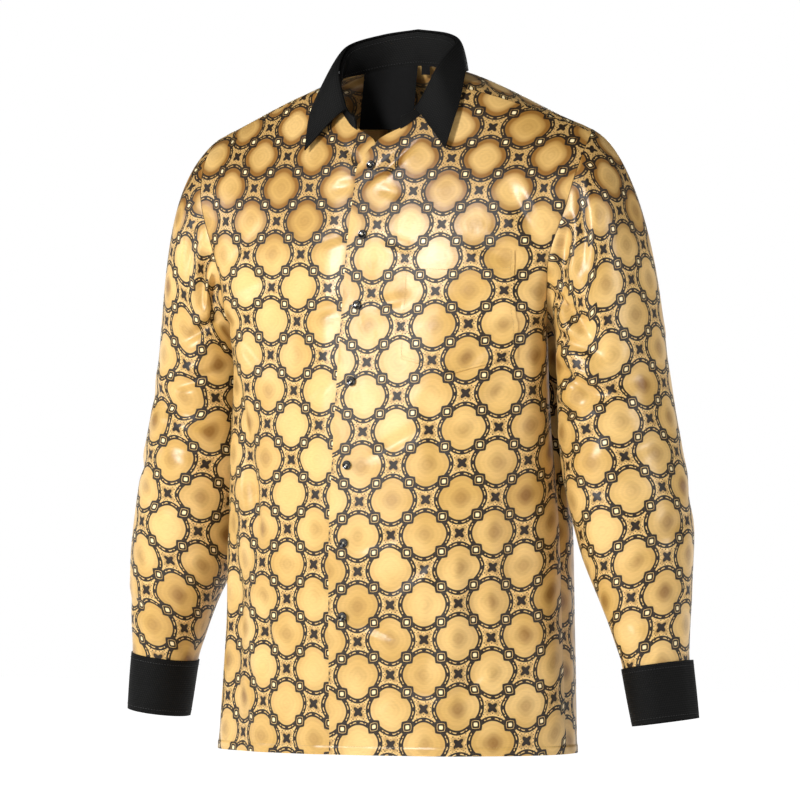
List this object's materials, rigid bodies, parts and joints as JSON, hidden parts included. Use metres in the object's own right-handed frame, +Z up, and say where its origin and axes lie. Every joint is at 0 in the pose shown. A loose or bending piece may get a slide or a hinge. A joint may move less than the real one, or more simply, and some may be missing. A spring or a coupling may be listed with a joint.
{
  "type": "shirt",
  "caption": "Long-sleeved jacquard satin shirt with contrast collar and cuffs, in its worn hollow shape, to dress a figure or hang in a scene",
  "frame": {"origin": "middle of the neck, level with the shoulder points of the neckline, where the wearer holds the shirt up", "axes": "+Z up along the body, -Y out of the front, +X towards the wearer's left"},
  "size_m": [0.756, 0.2901, 0.8672],
  "materials": {
    "satin": "gold jacquard satin",
    "black_cloth": "matt black dotted weave",
    "button": "polished black resin"
  },
  "bodies": {
    "root": {"front_left": "satin", "front_right": "satin", "back": "satin", "yoke": "satin", "sleeve_left": "satin", "sleeve_right": "satin", "sleeve_placket_left": "satin", "sleeve_placket_right": "satin", "pocket": "satin", "cuff_left": "black_cloth", "cuff_right": "black_cloth", "collar_stand": "black_cloth", "collar_leaf": "black_cloth", "neck_label": "black_cloth", "size_tab": "black_cloth", "button_1": "button", "button_2": "button", "button_3": "button", "button_4": "button", "button_5": "button", "button_6": "button", "button_7": "button", "stand_button": "button", "cuff_button_left": "button", "cuff_button_right": "button"}
  },
  "joints": []
}
